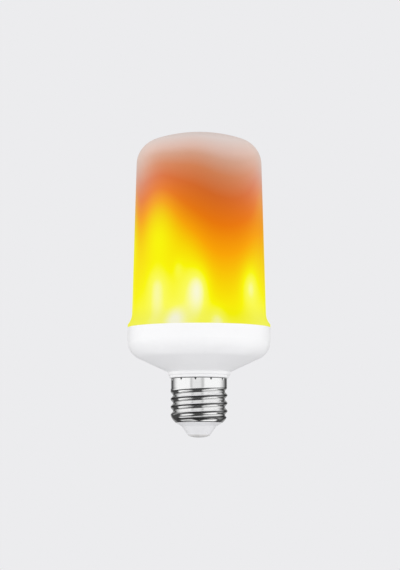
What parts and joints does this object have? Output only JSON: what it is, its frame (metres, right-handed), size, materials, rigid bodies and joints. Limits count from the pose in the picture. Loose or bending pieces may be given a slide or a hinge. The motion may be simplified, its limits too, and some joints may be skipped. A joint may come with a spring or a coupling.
{
  "type": "flame effect led bulb",
  "caption": "Screw-in lamp with a tall frosted cover over a column of flickering LEDs, a white bowl with its power supply, and a medium Edison cap.",
  "frame": {"origin": "on the lamp's axis, at the tip of the centre contact", "axes": "+Z along the lamp's axis, from the cap up to the dome; -Y is the side seen from the front, +X to its right"},
  "size_m": [0.066, 0.066, 0.1415],
  "materials": {
    "frosted_cover": "frosted, lit from inside by the LEDs",
    "white_housing": "smooth moulded white plastic",
    "nickel_shell": "bright nickel-plated sheet",
    "cap_plastic": "moulded pale plastic",
    "contact_metal": "plated, satin",
    "column_plastic": "moulded white plastic",
    "flex_board": "white coated flexible board",
    "led_package": "warm LED packages",
    "rigid_board": "white coated board",
    "solder": "tin solder",
    "chip_plastic": "black moulding",
    "screw_steel": "zinc-plated",
    "supply_board": "bare board",
    "can_sleeve": "dark shrink sleeve",
    "ferrite": "sintered ferrite",
    "magnet_wire": "enamelled copper wire",
    "film_case": "dipped case",
    "fuse_body": "coated resistor",
    "red_wire": "insulated lead",
    "black_wire": "insulated lead"
  },
  "bodies": {
    "root": {"diffuser": "frosted_cover", "housing": "white_housing", "screw_shell": "nickel_shell", "cap_insulator": "cap_plastic", "centre_contact": "contact_metal", "light_column": "column_plastic", "led_wrap_board": "flex_board", "side_leds": "led_package", "top_led_board": "rigid_board", "top_leds": "led_package", "edge_solder": "solder", "control_chip": "chip_plastic", "foot_screws": "screw_steel", "driver_board": "supply_board", "input_capacitor": "can_sleeve", "output_capacitor": "can_sleeve", "choke_core": "ferrite", "choke_winding": "magnet_wire", "film_capacitor": "film_case", "fusible_resistor": "fuse_body", "bridge_rectifier": "chip_plastic", "driver_chip": "chip_plastic", "live_lead": "red_wire", "neutral_lead": "black_wire", "light_lead_positive": "red_wire", "light_lead_negative": "black_wire"}
  },
  "joints": []
}
